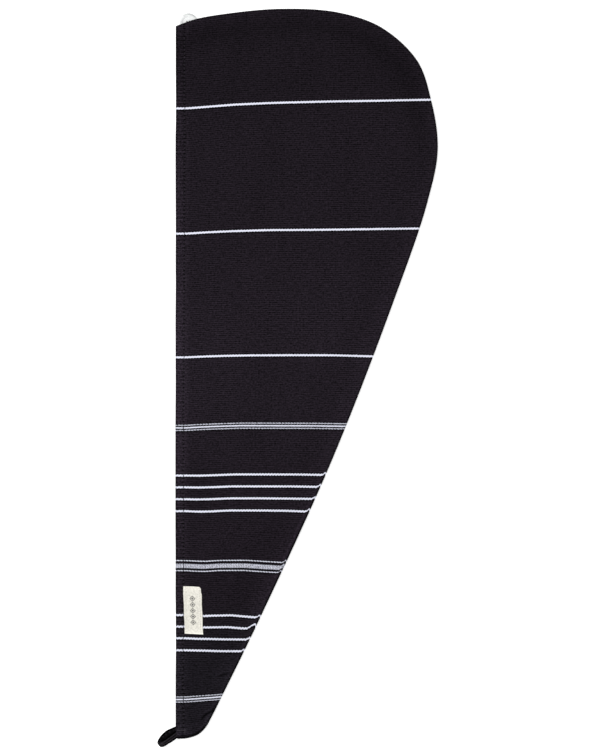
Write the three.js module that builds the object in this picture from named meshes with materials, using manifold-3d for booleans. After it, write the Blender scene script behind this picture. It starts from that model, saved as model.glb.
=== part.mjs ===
// Hair towel: two panels of flat-woven cotton, sewn together along the crown and the slanted side,
// turned right side out and laid flat. The straight side is the hemmed mouth of the pocket.
// A button sits under the crown corner, and a tape loop at the tip goes over it in use.
// Millimetres, +Z up. In plan, x runs from the mouth edge to the slanted side and y from tip to crown.

import * as THREE from 'three';
import { mergeVertices } from 'three/addons/utils/BufferGeometryUtils.js';
import Module from 'manifold-3d';

// Thickness and clearance
const CLOTH = 1.6;
const HEM = { width: 8.3, thickness: 2.2 };
const ALLOWANCE = { width: 8, thickness: 2 };
const STEP_WIDTH = 1; // over which a doubled strip thins to one layer
const GAP = 0.3; // between pieces that touch

// Pocket between the panels
const POCKET = { height: 5.4, rise: 40, flatRim: 3 }; // clear height between the hems, distance from the seam
const EDGE = { round: 2.2, drop: 1.5 }; // rolled seam edge: its width and how far it drops
const FOLD_EDGE = { round: 0.9, drop: 0.7 }; // folded edge of the hem

// Sections from the mouth edge (x = 0) to the seam, from the tip to the crown corner
const SECTIONS = [
  { mouthY: 1.4, seamX: 2, seamY: 0.2 },
  { mouthY: 5, seamX: 11, seamY: 0.9 },
  { mouthY: 9, seamX: 20.4, seamY: 3.9 },
  { mouthY: 15, seamX: 28, seamY: 10.3 },
  { mouthY: 24, seamX: 34.4, seamY: 21.5 },
  { mouthY: 38, seamX: 42, seamY: 36.7 },
  { mouthY: 113, seamX: 79.2, seamY: 113 },
  { mouthY: 266, seamX: 148.8, seamY: 265.7 },
  { mouthY: 418, seamX: 208, seamY: 418.3 },
  { mouthY: 512, seamX: 240.4, seamY: 513.7 },
  { mouthY: 556, seamX: 249.8, seamY: 564 },
  { mouthY: 585, seamX: 243.5, seamY: 609.1 },
  { mouthY: 605, seamX: 229.9, seamY: 647.3 },
  { mouthY: 622, seamX: 195.8, seamY: 678.8 },
  { mouthY: 636, seamX: 154.5, seamY: 693.1 },
  { mouthY: 650, seamX: 103, seamY: 696.6 },
  { mouthY: 663, seamX: 50, seamY: 692.2 },
  { mouthY: 672, seamX: 16, seamY: 685.8 },
  { mouthY: 677.4, seamX: 1.6, seamY: 679.6 },
];
const SECTION_PITCH = 21; // longest stretch of seam between two sections
const SEAM_SAMPLES = 420; // points that stand for the seam line where distances to it are taken
const POINTS_INSIDE = 6; // across a section, between the hem and the seam allowance
const SHORT_SHARE = { strip: 0.3, step: 0.05, round: 0.12, foldRound: 0.08 }; // the most of a short section
const ROUND_POINT = 1 / 3; // where a rolled edge has its middle point

// Soft swells and hollows of the upper panel: centre, direction in degrees, half length, half width
const SWELLS = [
  { x: 60, y: 470, turn: 82, length: 150, width: 42, height: 0.7 },
  { x: 165, y: 560, turn: 35, length: 90, width: 45, height: -0.6 },
  { x: 110, y: 620, turn: 10, length: 80, width: 30, height: 0.5 },
  { x: 120, y: 330, turn: 66, length: 110, width: 26, height: -0.6 },
  { x: 45, y: 215, turn: 75, length: 80, width: 24, height: 0.5 },
  { x: 38, y: 95, turn: 62, length: 40, width: 15, height: -0.5 },
];

// Button under the crown corner
const BUTTON = {
  x: 12, y: 683.2, radius: 8.8, height: 3, rim: 2, dish: 0.8, corner: 0.6, holeRadius: 1.1, holePitch: 3.4,
};
const BUTTON_LIFT = { margin: 4, fall: 24 }; // the cloth lies on the button, then settles to the floor
const THREAD = { radius: 0.6, barHeight: 0.5 };

// Label on the front panel
const LABEL = { x: 16, y: 122.2, width: 18, length: 45, thickness: 1, turn: 2.1 };

// Tape loop at the tip: its two legs lie one above the other and are joined at the far end
const LOOP = { y: 5.7, turn: 215, width: 7, thickness: 1.2 };
const LOOP_PATH = [
  { along: 0, side: 0.9, z: 1.8, widen: 1 },
  { along: 3.4, side: 1.8, z: 0.8, widen: 1 },
  { along: 7, side: 2.4, z: 0.65, widen: 1 },
  { along: 13, side: 1.7, z: 0.65, widen: 1 },
  { along: 16.2, side: 0.9, z: 0.95, widen: 0.98 },
  { along: 17.9, side: 0.4, z: 2.3, widen: 0.93 },
  { along: 18.4, side: 0.1, z: 4.1, widen: 0.88 },
  { along: 17.9, side: -0.2, z: 5.9, widen: 0.93 },
  { along: 15.8, side: -0.6, z: 7.1, widen: 0.98 },
  { along: 12.5, side: -0.9, z: 7.5, widen: 1 },
  { along: 7.5, side: -0.9, z: 7.2, widen: 1 },
  { along: 3.4, side: -0.9, z: 5.8, widen: 1 },
  { along: 0, side: -0.9, z: 4.2, widen: 1 },
];
const LOOP_STEPS = 30;

// Middle of the whole plan, loop included, which becomes the origin
const MIDDLE = { x: 116.1, y: 344.3 };

// Round shapes
const BUTTON_SIDES = 32;
const HOLE_SIDES = 12;

const smooth = (t) => {
  const s = Math.min(Math.max(t, 0), 1);
  return s * s * (3 - 2 * s);
};

// How far a rolled edge has dropped at a distance from its rim
const rolled = (distance, edge) => {
  const t = Math.min(Math.max(distance / edge.round, 0), 1);
  return edge.drop * (1 - Math.sqrt(1 - (1 - t) * (1 - t)));
};

// The seam line and the mouth points that belong to it, as one smooth curve (seam x, seam y, mouth y)
const sectionCurve = new THREE.CatmullRomCurve3(
  SECTIONS.map((row) => new THREE.Vector3(row.seamX, row.seamY, row.mouthY)),
);

function sectionsAlongSeam() {
  const sections = [];
  const lastRow = SECTIONS.length - 1;
  for (let row = 0; row < lastRow; row += 1) {
    const here = SECTIONS[row];
    const next = SECTIONS[row + 1];
    const stretch = Math.hypot(next.seamX - here.seamX, next.seamY - here.seamY);
    const steps = Math.ceil(stretch / SECTION_PITCH);
    for (let step = 0; step < steps; step += 1) {
      sections.push(sectionCurve.getPoint((row + step / steps) / lastRow));
    }
  }
  sections.push(sectionCurve.getPoint(1));
  return sections.map((p) => ({
    mouth: new THREE.Vector2(0, p.z),
    seam: new THREE.Vector2(p.x, p.y),
  }));
}

const seamSamples = sectionCurve.getPoints(SEAM_SAMPLES).map((p) => new THREE.Vector2(p.x, p.y));

function distanceToSeam(x, y) {
  let nearest = Infinity;
  for (let i = 1; i < seamSamples.length; i += 1) {
    const a = seamSamples[i - 1];
    const along = seamSamples[i].clone().sub(a);
    const t = THREE.MathUtils.clamp(((x - a.x) * along.x + (y - a.y) * along.y) / along.lengthSq(), 0, 1);
    nearest = Math.min(nearest, Math.hypot(x - a.x - t * along.x, y - a.y - t * along.y));
  }
  return nearest;
}

// Heights of the cloth over the plan
function lift(x, y) {
  const away = Math.hypot(x - BUTTON.x, y - BUTTON.y) - BUTTON.radius - BUTTON_LIFT.margin;
  return (BUTTON.height + GAP) * (1 - smooth(away / BUTTON_LIFT.fall));
}

function wallThickness(x, fromSeam) {
  const hem = (HEM.thickness - CLOTH) * (1 - smooth((x - HEM.width) / STEP_WIDTH));
  const allowance = (ALLOWANCE.thickness - CLOTH) * (1 - smooth((fromSeam - ALLOWANCE.width) / STEP_WIDTH));
  return CLOTH + Math.max(hem, allowance);
}

function swellHeight(x, y) {
  let height = 0;
  for (const swell of SWELLS) {
    const turn = THREE.MathUtils.degToRad(swell.turn);
    const along = (x - swell.x) * Math.cos(turn) + (y - swell.y) * Math.sin(turn);
    const across = (y - swell.y) * Math.cos(turn) - (x - swell.x) * Math.sin(turn);
    height += swell.height * Math.exp(-((along / swell.length) ** 2) - (across / swell.width) ** 2);
  }
  return height;
}

// How far the pocket has opened at a distance from the seam: 0 at the seam, 1 well inside
const opened = (fromSeam) => smooth((fromSeam - POCKET.flatRim) / POCKET.rise);

// Outer face of the front panel, without its rolled edges
function frontFace(x, y, fromSeam) {
  const closed = 2 * Math.max(ALLOWANCE.thickness, wallThickness(x, fromSeam)) + GAP;
  const open = 2 * HEM.thickness + POCKET.height + swellHeight(x, y);
  return lift(x, y) + THREE.MathUtils.lerp(closed, open, opened(fromSeam));
}

// The hem's folded edge is rolled on the pocket's side too, except where the seam closes it
const innerRoll = (x, fromSeam) => rolled(x, FOLD_EDGE) * opened(fromSeam);
const outerRoll = (x, fromSeam) => Math.max(rolled(fromSeam, EDGE), rolled(x, FOLD_EDGE));

function backPanelHeights(x, y, fromSeam) {
  const floor = lift(x, y);
  return {
    low: floor + outerRoll(x, fromSeam),
    high: floor + wallThickness(x, fromSeam) - innerRoll(x, fromSeam),
  };
}

function frontPanelHeights(x, y, fromSeam) {
  const face = frontFace(x, y, fromSeam);
  return {
    low: face - wallThickness(x, fromSeam) + innerRoll(x, fromSeam),
    high: face - outerRoll(x, fromSeam),
  };
}

// Distances across one section, from the mouth edge to the seam
function stationsAcross(length) {
  const hem = Math.min(HEM.width, SHORT_SHARE.strip * length);
  const allowance = Math.min(ALLOWANCE.width, SHORT_SHARE.strip * length);
  const step = Math.min(STEP_WIDTH, SHORT_SHARE.step * length);
  const round = Math.min(EDGE.round, SHORT_SHARE.round * length);
  const foldRound = Math.min(FOLD_EDGE.round, SHORT_SHARE.foldRound * length);
  const stations = [0, foldRound * ROUND_POINT, foldRound, hem, hem + step];
  const first = hem + step;
  const last = length - allowance - step;
  for (let i = 1; i <= POINTS_INSIDE; i += 1) {
    stations.push(THREE.MathUtils.lerp(first, last, i / (POINTS_INSIDE + 1)));
  }
  return stations.concat([last, length - allowance, length - round, length - round * ROUND_POINT, length]);
}

// A closed skin through rings of points that all have the same number of points. Each ring runs out
// along one face and back along the other, and both faces are cut along the same diagonals in plan.
function skinThroughRings(rings) {
  const ringSize = rings[0].length;
  const positions = rings.flat().flatMap((p) => [p.x, p.y, p.z]);
  const triangles = [];
  for (let ring = 0; ring + 1 < rings.length; ring += 1) {
    for (let i = 0; i < ringSize; i += 1) {
      const j = (i + 1) % ringSize;
      const a = ring * ringSize + i;
      const b = ring * ringSize + j;
      const c = a + ringSize;
      const d = b + ringSize;
      if (i < ringSize / 2) {
        triangles.push(a, b, d, a, d, c);
      } else {
        triangles.push(a, b, c, b, d, c);
      }
    }
  }
  const lastRing = (rings.length - 1) * ringSize;
  for (let i = 0; i < ringSize / 2 - 1; i += 1) {
    const low = [i, i + 1];
    const high = [ringSize - 1 - i, ringSize - 2 - i];
    triangles.push(low[0], high[1], low[1], low[0], high[0], high[1]);
    triangles.push(lastRing + low[0], lastRing + low[1], lastRing + high[1]);
    triangles.push(lastRing + low[0], lastRing + high[1], lastRing + high[0]);
  }
  const geometry = new THREE.BufferGeometry();
  geometry.setAttribute('position', new THREE.Float32BufferAttribute(positions, 3));
  geometry.setIndex(triangles);
  return facingOut(geometry);
}

// Turns a closed skin's triangles round where its volume comes out negative
function facingOut(geometry) {
  const p = geometry.getAttribute('position');
  const index = geometry.getIndex().array;
  const corner = [new THREE.Vector3(), new THREE.Vector3(), new THREE.Vector3()];
  let volume = 0;
  for (let i = 0; i < index.length; i += 3) {
    corner.forEach((v, k) => v.fromBufferAttribute(p, index[i + k]));
    volume += corner[0].dot(corner[1].cross(corner[2]));
  }
  if (volume < 0) {
    for (let i = 0; i < index.length; i += 3) {
      [index[i], index[i + 1]] = [index[i + 1], index[i]];
    }
  }
  geometry.computeVertexNormals();
  return geometry;
}

// A panel: one ring of points round the wall for each section
function panelGeometry(heightsAt) {
  const rings = sectionsAlongSeam().map(({ mouth, seam }) => {
    const length = mouth.distanceTo(seam);
    const points = stationsAcross(length).map((station) => {
      const { x, y } = mouth.clone().lerp(seam, station / length);
      const { low, high } = heightsAt(x, y, distanceToSeam(x, y));
      return { x, y, low, high };
    });
    const under = points.map((p) => new THREE.Vector3(p.x, p.y, p.low));
    const over = points.map((p) => new THREE.Vector3(p.x, p.y, p.high)).reverse();
    return under.concat(over);
  });
  return skinThroughRings(rings);
}

// The label follows the front panel's face
function labelGeometry() {
  const across = [-0.5, -0.25, 0, 0.25, 0.5]; // parts of its width
  const rows = 6; // stretches along its length
  const turn = THREE.MathUtils.degToRad(LABEL.turn);
  const rings = [];
  for (let row = 0; row <= rows; row += 1) {
    const along = (row / rows - 0.5) * LABEL.length;
    const face = across.map((part) => {
      const side = part * LABEL.width;
      const x = LABEL.x + side * Math.cos(turn) - along * Math.sin(turn);
      const y = LABEL.y + side * Math.sin(turn) + along * Math.cos(turn);
      return new THREE.Vector3(x, y, frontFace(x, y, distanceToSeam(x, y)) + GAP);
    });
    const top = face.map((p) => p.clone().setZ(p.z + LABEL.thickness)).reverse();
    rings.push(face.concat(top));
  }
  return skinThroughRings(rings);
}

// The loop's tape, swept along its path with four corners to a section
function loopGeometry() {
  const path = new THREE.CatmullRomCurve3(
    LOOP_PATH.map((row) => new THREE.Vector3(row.along, row.side, row.z)),
  );
  const widths = new THREE.CatmullRomCurve3(LOOP_PATH.map((row) => new THREE.Vector3(row.widen, 0, 0)));
  const turn = THREE.MathUtils.degToRad(LOOP.turn);
  const outward = new THREE.Vector2(Math.cos(turn), Math.sin(turn));
  const square = new THREE.Vector2(outward.y, -outward.x);
  const alongMouth = new THREE.Vector2(0, 1 / -outward.x);
  const foot = new THREE.Vector2(-GAP, LOOP.y);
  const place = (along, side, z) => {
    const across = alongMouth.clone().lerp(square, smooth(along / LOOP.width));
    const plan = foot.clone().addScaledVector(outward, along).addScaledVector(across, side);
    return new THREE.Vector3(plan.x, plan.y, z);
  };
  const rings = [];
  for (let step = 0; step <= LOOP_STEPS; step += 1) {
    const t = step / LOOP_STEPS;
    const centre = path.getPoint(t);
    const direction = path.getTangent(t);
    const atFoot = step === 0 || step === LOOP_STEPS;
    const normal = new THREE.Vector2(-direction.z, direction.x).normalize();
    if (atFoot) {
      normal.set(0, Math.sign(normal.y));
    }
    const halfWidth = (LOOP.width / 2) * widths.getPoint(t).x;
    const half = LOOP.thickness / 2;
    const corners = [[-1, -1], [1, -1], [1, 1], [-1, 1]];
    rings.push(corners.map(([side, face]) => place(
      centre.x + face * half * normal.x,
      centre.y + side * halfWidth,
      centre.z + face * half * normal.y,
    )));
  }
  return skinThroughRings(rings);
}

// Solids that are joined or cut
const wasm = await Module();
wasm.setup();

function toSolid(geometry) {
  const bare = geometry.clone();
  bare.deleteAttribute('normal');
  bare.deleteAttribute('uv');
  const merged = mergeVertices(bare);
  return new wasm.Manifold(new wasm.Mesh({
    numProp: 3,
    vertProperties: Float32Array.from(merged.getAttribute('position').array),
    triVerts: Uint32Array.from(merged.getIndex().array),
  }));
}

function toGeometry(solid) {
  const { vertProperties, triVerts } = solid.getMesh();
  const geometry = new THREE.BufferGeometry();
  geometry.setAttribute('position', new THREE.BufferAttribute(vertProperties, 3));
  geometry.setIndex(new THREE.BufferAttribute(triVerts, 1));
  geometry.computeVertexNormals();
  return geometry;
}

// Upright round bar from z = 0 up
function uprightBar(radius, height, sides) {
  const bar = new THREE.CylinderGeometry(radius, radius, height, sides);
  return bar.rotateX(Math.PI / 2).translate(0, 0, height / 2);
}

// Places of the four thread holes round the button's middle
const holePlaces = [[-1, -1], [1, -1], [1, 1], [-1, 1]].map(([right, up]) => ({
  x: (right * BUTTON.holePitch) / 2,
  y: (up * BUTTON.holePitch) / 2,
}));

// Button: a disc with a round rim and a dish on both faces, drilled four times
function buttonGeometry() {
  const { radius, height, rim, dish, corner } = BUTTON;
  const profile = [
    [0, dish], [radius - rim - dish, dish], [radius - rim, 0], [radius - corner, 0], [radius, corner],
    [radius, height - corner], [radius - corner, height], [radius - rim, height],
    [radius - rim - dish, height - dish], [0, height - dish],
  ];
  const disc = new THREE.LatheGeometry(profile.map(([r, z]) => new THREE.Vector2(r, z)), BUTTON_SIDES);
  let solid = toSolid(disc.rotateX(Math.PI / 2));
  const overshoot = 1;
  for (const { x, y } of holePlaces) {
    const drill = uprightBar(BUTTON.holeRadius, height + 2 * overshoot, HOLE_SIDES).translate(x, y, -overshoot);
    solid = solid.subtract(toSolid(drill));
  }
  return toGeometry(solid);
}

// Thread: four strands through the holes, joined by a bar over each pair below and a knot above
function threadGeometry() {
  const { dish, height, holePitch } = BUTTON;
  const low = dish - GAP - THREAD.barHeight;
  const high = height - dish + GAP;
  const strandHeight = high - low + THREAD.barHeight;
  const strands = holePlaces.map(({ x, y }) => (
    uprightBar(THREAD.radius, strandHeight, HOLE_SIDES).translate(x, y, low)
  ));
  const barWidth = 2 * THREAD.radius;
  const lowBars = [-1, 1].map((side) => (
    new THREE.BoxGeometry(holePitch, barWidth, THREAD.barHeight)
      .translate(0, (side * holePitch) / 2, low + THREAD.barHeight / 2)
  ));
  const knot = new THREE.BoxGeometry(holePitch + barWidth, holePitch + barWidth, THREAD.barHeight)
    .translate(0, 0, high + THREAD.barHeight / 2);
  const shank = uprightBar(holePitch / 2, height - high, HOLE_SIDES)
    .translate(0, -holePitch / 2, high);
  const pieces = [...strands, ...lowBars, knot, shank];
  return toGeometry(pieces.map(toSolid).reduce((whole, piece) => whole.add(piece)));
}

// Colours and finish
const darkCotton = () => new THREE.MeshStandardMaterial({ color: 0x211e23, roughness: 0.95, metalness: 0 });
const labelCotton = () => new THREE.MeshStandardMaterial({ color: 0xf1eee0, roughness: 0.9, metalness: 0 });
const pearl = () => new THREE.MeshStandardMaterial({ color: 0xe9e9ea, roughness: 0.25, metalness: 0 });

function named(name, geometry, material) {
  const mesh = new THREE.Mesh(geometry, material);
  mesh.name = name;
  return mesh;
}

const button = named('button', buttonGeometry(), pearl());
const thread = named('button_thread', threadGeometry(), darkCotton());
const fastening = new THREE.Group();
fastening.position.set(BUTTON.x, BUTTON.y, 0);
fastening.add(button, thread);

const hairTowel = new THREE.Group();
hairTowel.position.set(-MIDDLE.x, -MIDDLE.y, 0);
hairTowel.add(
  named('back_panel', panelGeometry(backPanelHeights), darkCotton()),
  named('front_panel', panelGeometry(frontPanelHeights), darkCotton()),
  named('label', labelGeometry(), labelCotton()),
  named('button_loop', loopGeometry(), darkCotton()),
  fastening,
);

const model = new THREE.Group();
model.add(hairTowel);
export default model;
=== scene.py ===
import math
from collections import namedtuple
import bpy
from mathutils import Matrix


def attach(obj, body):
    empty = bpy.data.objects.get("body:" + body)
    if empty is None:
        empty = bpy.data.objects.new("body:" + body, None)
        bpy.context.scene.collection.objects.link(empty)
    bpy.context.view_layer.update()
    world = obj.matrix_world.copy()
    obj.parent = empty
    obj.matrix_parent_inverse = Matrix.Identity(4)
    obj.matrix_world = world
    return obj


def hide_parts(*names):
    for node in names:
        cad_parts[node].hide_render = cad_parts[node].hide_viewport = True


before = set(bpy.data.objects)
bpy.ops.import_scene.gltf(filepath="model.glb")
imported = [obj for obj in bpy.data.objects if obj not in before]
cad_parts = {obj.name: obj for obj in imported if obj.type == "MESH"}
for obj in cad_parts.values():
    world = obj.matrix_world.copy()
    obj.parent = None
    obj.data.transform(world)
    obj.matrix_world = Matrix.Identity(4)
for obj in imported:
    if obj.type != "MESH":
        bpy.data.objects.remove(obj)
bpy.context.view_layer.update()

from types import SimpleNamespace as Values

import bpy
import numpy as np
from mathutils import Vector

# A hair towel of striped cotton, laid flat. Lengths are millimetres until a mesh is made, in the frame
# of the cutting plan: x from the mouth edge to the slanted seam, y from the tip to the crown corner.
MM = 0.001
TURN = 2 * math.pi

# Values that the part's source holds too
MIDDLE = (116.1, 344.3)  # of the whole plan, which is the frame's origin
CLOTH = 1.6
HEM = Values(width=8.3, thickness=2.2)
ALLOWANCE = Values(width=8, thickness=2)
STEP_WIDTH = 1
GAP = 0.3
POCKET = Values(height=5.4, rise=40, flat_rim=3)
SECTIONS = (  # mouth y, seam x, seam y
    (1.4, 2, 0.2),
    (5, 11, 0.9),
    (9, 20.4, 3.9),
    (15, 28, 10.3),
    (24, 34.4, 21.5),
    (38, 42, 36.7),
    (113, 79.2, 113),
    (266, 148.8, 265.7),
    (418, 208, 418.3),
    (512, 240.4, 513.7),
    (556, 249.8, 564),
    (585, 243.5, 609.1),
    (605, 229.9, 647.3),
    (622, 195.8, 678.8),
    (636, 154.5, 693.1),
    (650, 103, 696.6),
    (663, 50, 692.2),
    (672, 16, 685.8),
    (677.4, 1.6, 679.6),
)
SWELLS = (  # x, y, turn in degrees, half length, half width, height
    (60, 470, 82, 150, 42, 0.7),
    (165, 560, 35, 90, 45, -0.6),
    (110, 620, 10, 80, 30, 0.5),
    (120, 330, 66, 110, 26, -0.6),
    (45, 215, 75, 80, 24, 0.5),
    (38, 95, 62, 40, 15, -0.5),
)
BUTTON = Values(x=12, y=683.2, radius=8.8, height=3, rim=2, dish=0.8)
BUTTON_LIFT = Values(margin=4, fall=24)
LABEL = Values(x=16, y=122.2, width=18, length=45, turn=2.1)
LOOP = Values(y=5.7, turn=215, width=7.8, thickness=1.2)  # there its width is 7
THREAD_BAR = 0.5  # thickness of the strands between the button's holes

BUTTON_SIDES = 132
BUTTON_CORNER = 1.2  # how far in its rim is round
BUTTON_FIT = Values(scale=1.045, x=-0.35)  # how much larger and further left its shell is than its solid
SHELL = Values(dish=0.7, rim=0.92, web=0.12)  # shares of the solid's dish and rim, half its holes' web
SEWING = Values(pitch=2.2, turn=50, hole_radius=0.65)  # the shell's four holes
SEWN_TURNS = 5
SEWN_RADIUS = 0.2
TACK_RADIUS = 0.17
TUBE_SIDES = 8

# Camera, straight above the middle of the picture
CAMERA = Values(x=118.2, y=346.9, z=6, distance=6000, seen_height=715.6, film=36)

# How fine the cloth's mesh is
ROW_PITCH = 1.02
INSIDE_POINTS = {"outer": 28, "inner": 8}
SEAM_SAMPLES = 1200
CHUNK = 2500  # points measured against the seam at a time

# Edges of the cloth
FOLD_ROUND = 1.1  # half the hem's thickness
RIM_ROUND = 2.4
SEAM_GROOVE = Values(depth=0.9, half_height=0.28)
SEAM_DROP = ALLOWANCE.thickness - SEAM_GROOVE.half_height

# Relief of the cloth
WAVES = Values(height=0.28, shortest=28, longest=110, count=22, from_mouth=30)
SEAM_PUCKER = Values(height=0.3, shortest=9, longest=24, count=14, reach=9, rim=2)
HEM_PUCKER = Values(height=0.16, shortest=5, longest=11, count=16, drag=0.35, near=7, far=14)
SEEDS = Values(
    waves=11, front_seam=21, front_hem=31, back_hem=41, back_seam=51,
    tacks=3, sewing=5,
)
STITCH = Values(pitch=3.6, length=2.7, radius=0.25, low_y=9, high_y=671)
STITCH_LIE = Values(arch=0.2, sunk=0.16, waver=0.12)
GROOVE = Values(depth=0.4, width=0.9, least=0.45)  # of the hem's stitches, least between two of them
FOLD_DIMPLE = Values(depth=0.12, width=2.2)  # of the hem's fold beside each stitch
BACK_SHARES = Values(hem=0.6, seam=0.5)  # of the upper panel's relief, which the lower panel has
# Where the hem is stitched: x at the tip, and steps of it with from y, to y, change of x
STITCH_TIP_X = 7.06
STITCH_STEPS = (
    (20, 60, -0.55), (60, 193, 0.55), (193, 273, -0.2), (273, 450, 1.1), (518, 570, 0.5), (570, 640, -0.5),
)
CREASES = (  # x, y, turn in degrees, half length, half width, height; the cloth is also painted darker in their hollows and paler on their ridges
    (25.6, 19.6, 56, 2.8, 0.85, -0.75),
    (28.9, 22.9, 33, 3.2, 0.85, -1.1),
    (33, 25.4, 24, 3.2, 0.85, -1),
    (35.3, 27.6, 62, 2.4, 0.8, -0.9),
    (29.6, 26, 28, 3.4, 0.7, 0.7),
    (30.6, 18.2, 60, 6.5, 1.5, 0.45),
    (24.4, 11.2, -60, 1.6, 0.45, 0.9),
    (25.9, 10.3, -60, 1.2, 0.45, -0.8),
    (16, 17, 4, 9, 2.2, -0.22),
    (45.4, 60.8, 15, 5.4, 0.75, -1.1),
    (42.4, 62.6, 20, 4, 0.8, 0.6),
    (47.6, 56, 62, 5, 1.3, 0.25),
    (38.4, 47, 28, 6, 1, -0.3),
    (52.6, 82, 30, 7, 1.1, -0.3),
    (5.2, 7.6, 0, 5.5, 1.6, 0.3),
    (6.2, 4.6, 0, 4.5, 0.7, -0.35),
)
# How far the mouth edge lies outward of its straight line: y, outward
MOUTH_WAVER = (
    (0, 0.55), (28, 0.5), (60, 0.45), (86, 0.2), (115, 0.3), (137, 0.55), (178, 0.5), (200, 0.65),
    (225, 0.7), (262, 0.7), (300, 0.65), (340, 0.4), (363, 0.5), (402, 0.55), (432, 0.3), (458, 0.45),
    (487, 0.3), (520, 0.45), (554, 0.55), (574, 0.5), (590, 0.15), (612, 0.15), (640, 0.35), (676, 0.4),
)
CROWN_CORNER = ((0, 2.1), (1.6, 1), (6, 0.6), (11, 0))  # x, how far it stands above the plan
BULGES = Values(mouth_reach=3, tip=0.7, tip_reach=14, crown_y=664, crown_reach=8)

# The loop's tape, from its foot between the hems, round its end and back: along, side, z, widen
LOOP_PATH = (
    (-6, 0.7, 2, 0.7),
    (-1, 0.6, 1.9, 0.94),
    (3.4, 1.6, 0.85, 1.06),
    (7, 2.5, 0.7, 1.04),
    (13, 1.9, 0.7, 1),
    (17.2, 0.8, 0.95, 0.99),
    (19.2, 0.3, 2.3, 0.98),
    (19.9, -0.1, 4.1, 0.96),
    (19.2, -0.7, 5.8, 0.92),
    (16.8, -1.2, 6.9, 0.88),
    (12.8, -1.7, 7.2, 0.79),
    (7.5, -1.9, 6.7, 0.82),
    (3.4, -1.9, 5.3, 0.85),
    (-1, -1.6, 3.5, 0.9),
    (-6, -1.2, 3, 0.7),
)
LABEL_CORNER = Values(depth=0.9, reach=2.2)  # its worn upper right corner
LABEL_NOTCH = Values(depth=0.45, from_end=6.4, step=0.6, band=1)  # where its fold's edge begins
LABEL_DRAWN_IN = Values(depth=0.5, reach=3)  # its left edge, held by the hem
LABEL_WAVER = Values(height=0.12, band=3)
LABEL_ENDS = Values(bow=0.3, top=0.35, foot=0.15, top_slant=0.04, foot_slant=0.05)
LABEL_RELIEF = Values(rise=0.75, sunk=0.1, round=0.5, drop=0.4, billow=0.15)
LABEL_SEAM = Values(from_edge=2.2, width=0.35, height=0.16)
LABEL_FOLD = Values(from_edge=2.4, step=0.7, height=0.25)
LOOP_POINTS = Values(along=150, round=44)
LOOP_BEND = 28.5  # how far along its tape the loop's end is
LOOP_ROUNDING = Values(depth=2, reach=6)  # how far the corners of its end are drawn in
LOOP_RIDGES = Values(places=(-0.8, -3), width=0.42, height=0.22)  # beside its middle line
LOOP_GROOVE = Values(width=0.4, depth=0.25)
LOOP_RIPPLE = Values(height=0.1, edge=0.06)

# Bar tacks that hold the loop: from x, y, to x, y, half width
BAR_TACKS = (
    (0.4, 7.7, 10, 7.6, 1),
    (8.3, 3.8, 8.6, 9.4, 0.8),
)
TACK_PITCH = 0.42

# Cut of the cloth, with its hem and seam allowance: width, length, area in square metres
PANEL_CUT = Values(flat=(0.275, 0.713), area=0.133)

# Painted light and shade of the cloth's dents and folds, where it is paler or darker than around: x, y,
# turn in degrees, half length, half width, tone
PATCHES = (
    (84.8, 132.2, 62, 24, 9, 0.2),
    (48.6, 65.4, 60, 8, 6, 0.14),
    (32.3, 34.9, 10, 8, 5, 0.16),
    (3.7, 141.8, 90, 25, 5, 0.14),
    (20, 237, 85, 34, 14, -0.1),
    (3.7, 647, 90, 30, 7, -0.2),
    (199, 647, -38, 26, 13, -0.07),
    (60, 664, 3, 50, 9, -0.08),
    (34, 688, 12, 24, 5, 0.12),
    (15, 330, 90, 32, 14, 0.1),
    (92, 146, 62, 26, 16, 0.1),
    (80, 116, 62, 14, 8, 0.14),
    (50, 146, 80, 20, 12, 0.06),
    (175, 466, 70, 22, 16, -0.09),
    (88, 552, 88, 60, 12, -0.07),
    (166, 547, 85, 42, 12, -0.07),
    (150, 395, 70, 40, 22, 0.05),
    (40, 400, 85, 60, 14, 0.05),
    (70, 300, 70, 30, 16, -0.06),
)
# The hollow beyond the crown's seam allowance, painted darker as shade: its seam distance, width, painted
# shade, depth, levels and reach from the mouth edge
CROWN_VALLEY = Values(seam=17, width=8, tone=-0.2, depth=0.5, low_y=535, high_y=600, edge=20)
# A painted highlight on the ridge of the seam allowance: from and to seam distance, tone, and levels
ALLOWANCE_HIGHLIGHT = Values(near=9, far=21, tone=0.13, low_y=500, high_y=560)

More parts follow.
